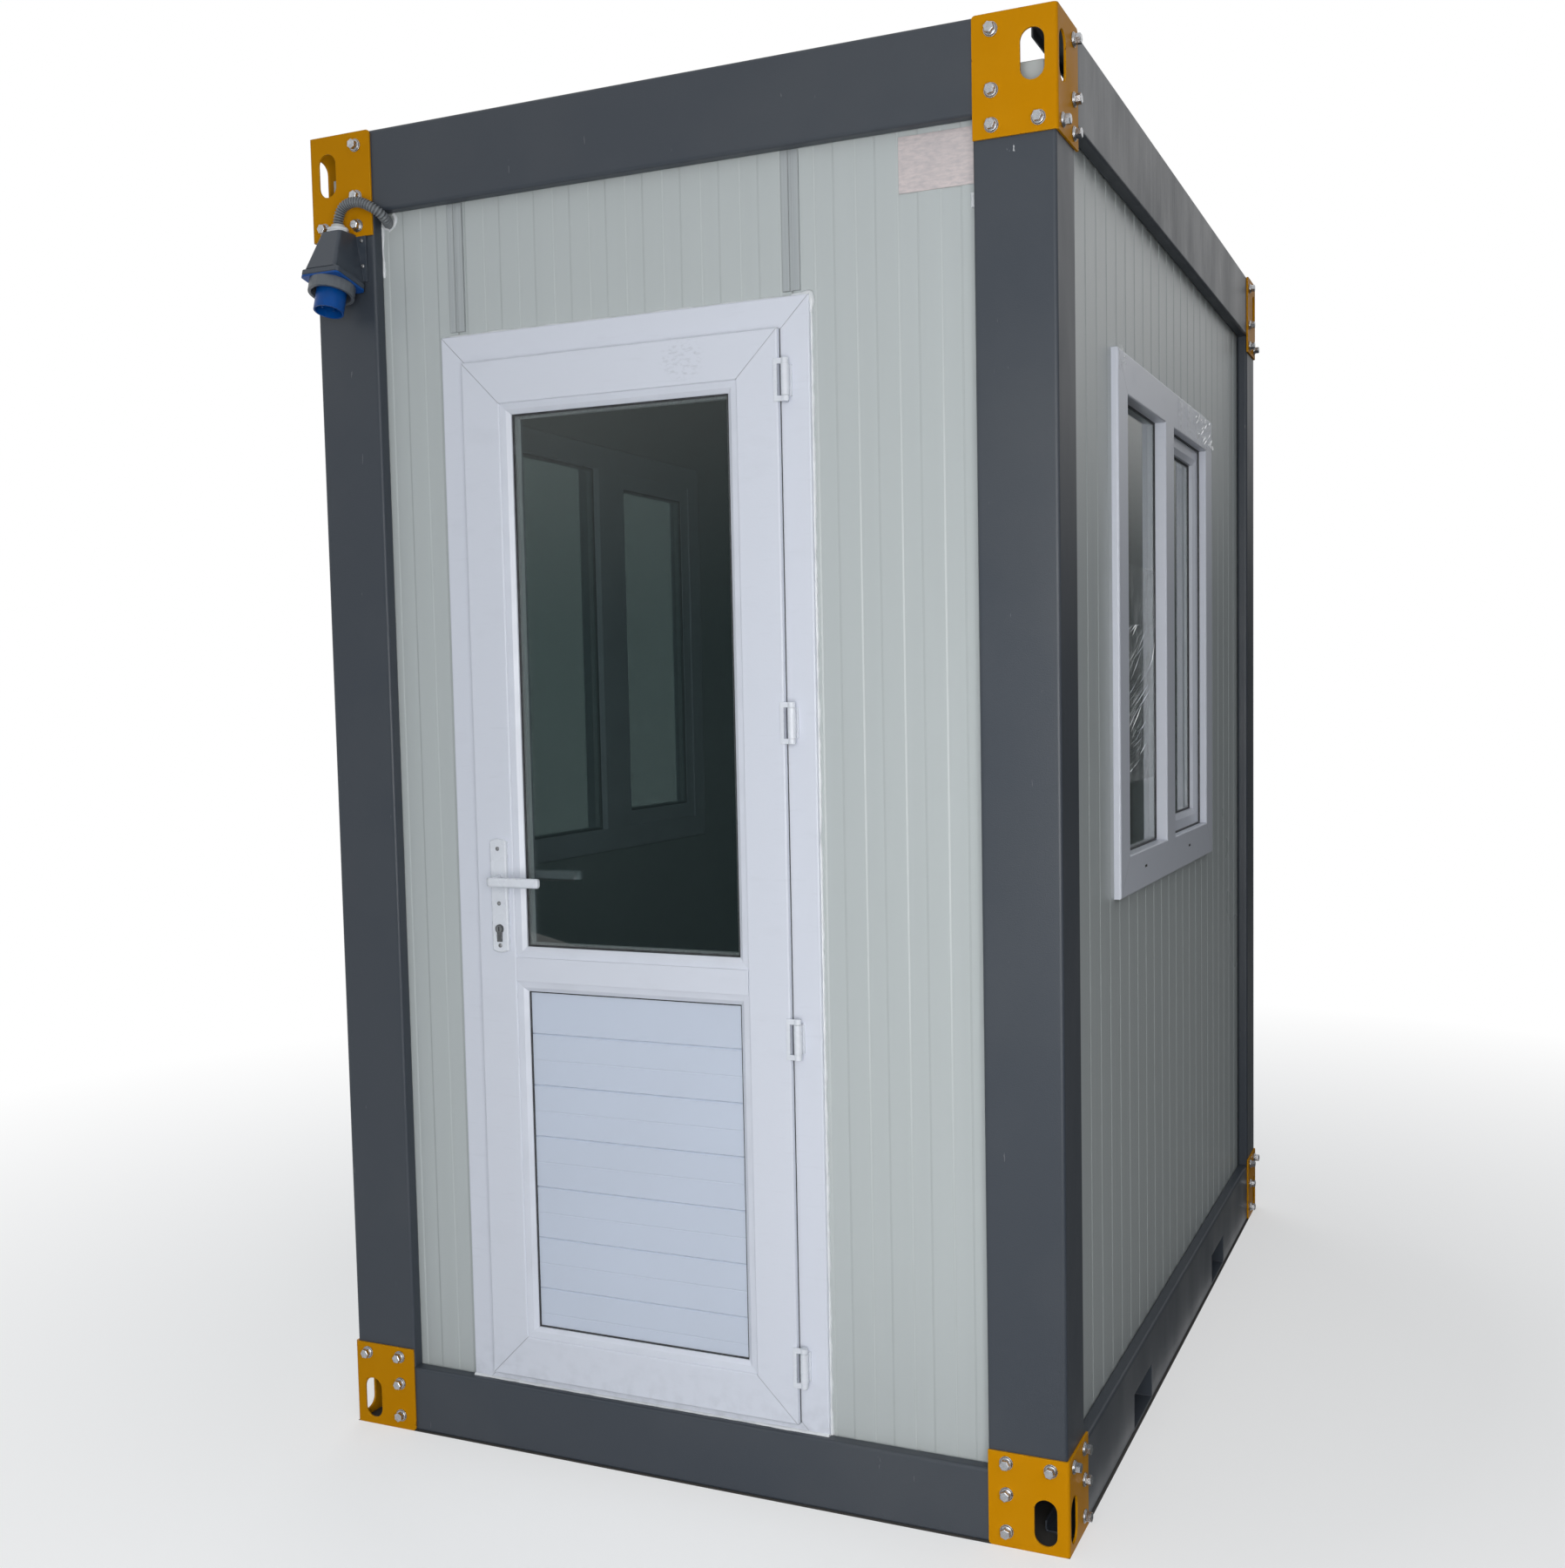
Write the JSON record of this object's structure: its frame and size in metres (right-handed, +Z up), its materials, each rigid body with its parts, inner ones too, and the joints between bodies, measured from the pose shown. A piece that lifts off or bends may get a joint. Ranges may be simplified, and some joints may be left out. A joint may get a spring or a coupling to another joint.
{
  "type": "security guard booth",
  "caption": "Small steel-framed guard booth with bolted lifting brackets, sandwich-panel walls, a half-glazed hinged door, side windows and a power inlet on a front post.",
  "frame": {"origin": "centre of the footprint on the ground plane, under the middle floor joist", "axes": "+Z up, -Y out of the door front, +X to the right seen from the front"},
  "size_m": [1.5, 2.091, 2.56],
  "materials": {
    "frame_paint": "satin",
    "bracket_paint": "semi-gloss",
    "panel_skin": "semi-gloss",
    "roof_skin": "semi-gloss",
    "floor_deck": "matt",
    "pvc_white": "satin",
    "glazing": "clear",
    "strip_alu": "satin",
    "lock_metal": "brushed",
    "handle_coat": "gloss",
    "inlet_slate": "matt",
    "inlet_grey": "matt",
    "inlet_blue": "satin",
    "gland_white": "matt",
    "conduit_grey": "matt"
  },
  "bodies": {
    "cabin": {"base_beam_front": "frame_paint", "base_beam_back": "frame_paint", "base_beam_left": "frame_paint", "base_beam_right": "frame_paint", "fork_pockets": "frame_paint", "floor_joists": "frame_paint", "corner_post_front_left": "frame_paint", "corner_post_front_right": "frame_paint", "corner_post_back_left": "frame_paint", "corner_post_back_right": "frame_paint", "top_beam_front": "frame_paint", "top_beam_back": "frame_paint", "top_beam_left": "frame_paint", "top_beam_right": "frame_paint", "upper_brackets": "bracket_paint", "lower_brackets": "bracket_paint", "front_wall_left": "panel_skin", "front_wall_right": "panel_skin", "front_wall_over_door": "panel_skin", "right_wall": "panel_skin", "left_wall": "panel_skin", "back_wall": "panel_skin", "ceiling_panel": "panel_skin", "front_wall_skins": "panel_skin", "side_wall_skins": "panel_skin", "back_wall_skin": "panel_skin", "roof_sheet": "roof_skin", "floor_board": "floor_deck", "panel_joint_strips": "strip_alu", "door_jamb_left": "pvc_white", "door_jamb_right": "pvc_white", "door_head": "pvc_white", "door_sill": "pvc_white", "window_frame_right": "pvc_white", "window_frame_left": "pvc_white", "window_sashes": "pvc_white", "window_glass": "glazing", "hinge_barrels": "handle_coat", "inlet_housing": "inlet_slate", "inlet_gasket": "inlet_blue", "inlet_ring": "inlet_grey", "inlet_shroud": "inlet_blue", "inlet_gland": "gland_white", "inlet_conduit": "conduit_grey"},
    "door": {"door_stile_lock": "pvc_white", "door_stile_hinge": "pvc_white", "door_top_rail": "pvc_white", "door_bottom_rail": "pvc_white", "door_mid_rail": "pvc_white", "door_glass": "glazing", "door_panel": "pvc_white", "glazing_beads": "pvc_white", "handle_plates": "handle_coat", "lock_cylinder": "lock_metal", "hinge_knuckles": "handle_coat"},
    "lever": {"lever_handle": "handle_coat"}
  },
  "joints": [
    {"name": "door_hinge", "type": "hinge", "parent": "cabin", "child": "door", "pos_m": [0.258, -0.993, 1.125], "axis": [0, 0, 1], "range_deg": [0, 120]},
    {"name": "lever_turn", "type": "hinge", "parent": "door", "child": "lever", "pos_m": [-0.362, -0.964, 1.125], "axis": [0, 1, 0], "range_deg": [0, 40], "stiffness_Nm_per_rad": 1.2, "springref_deg": -20.05}
  ]
}
